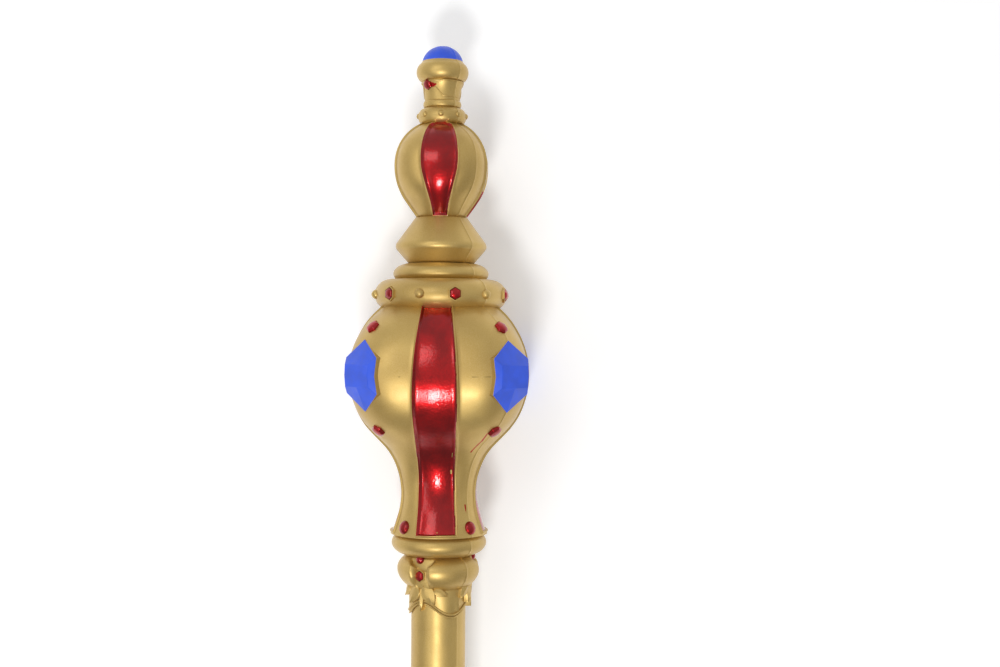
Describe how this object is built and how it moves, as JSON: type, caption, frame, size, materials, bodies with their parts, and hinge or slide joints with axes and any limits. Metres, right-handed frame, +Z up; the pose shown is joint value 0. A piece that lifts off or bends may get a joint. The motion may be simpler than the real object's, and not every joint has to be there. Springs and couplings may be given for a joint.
{
  "type": "sceptre",
  "caption": "Costume sceptre of painted hollow plastic: bulbous gold head with red panels and faceted blue stones, red shaft and domed gold foot, lying on its side.",
  "frame": {"origin": "on the floor, under the middle of the sceptre's box as it lies on its side", "axes": "+X from the foot to the head along the sceptre, +Z up from the floor it lies on, with the front panel of the head facing up"},
  "size_m": [1.1998, 0.09, 0.0895],
  "materials": {
    "gold_paint": "satin metallic gold paint over moulded plastic",
    "red_paint": "glossy candy red enamel with a slight orange peel",
    "blue_paint": "smooth half-matt blue paint"
  },
  "bodies": {
    "root": {"head_section": "gold_paint", "red_shaft": "red_paint", "foot_section": "gold_paint"}
  },
  "joints": []
}
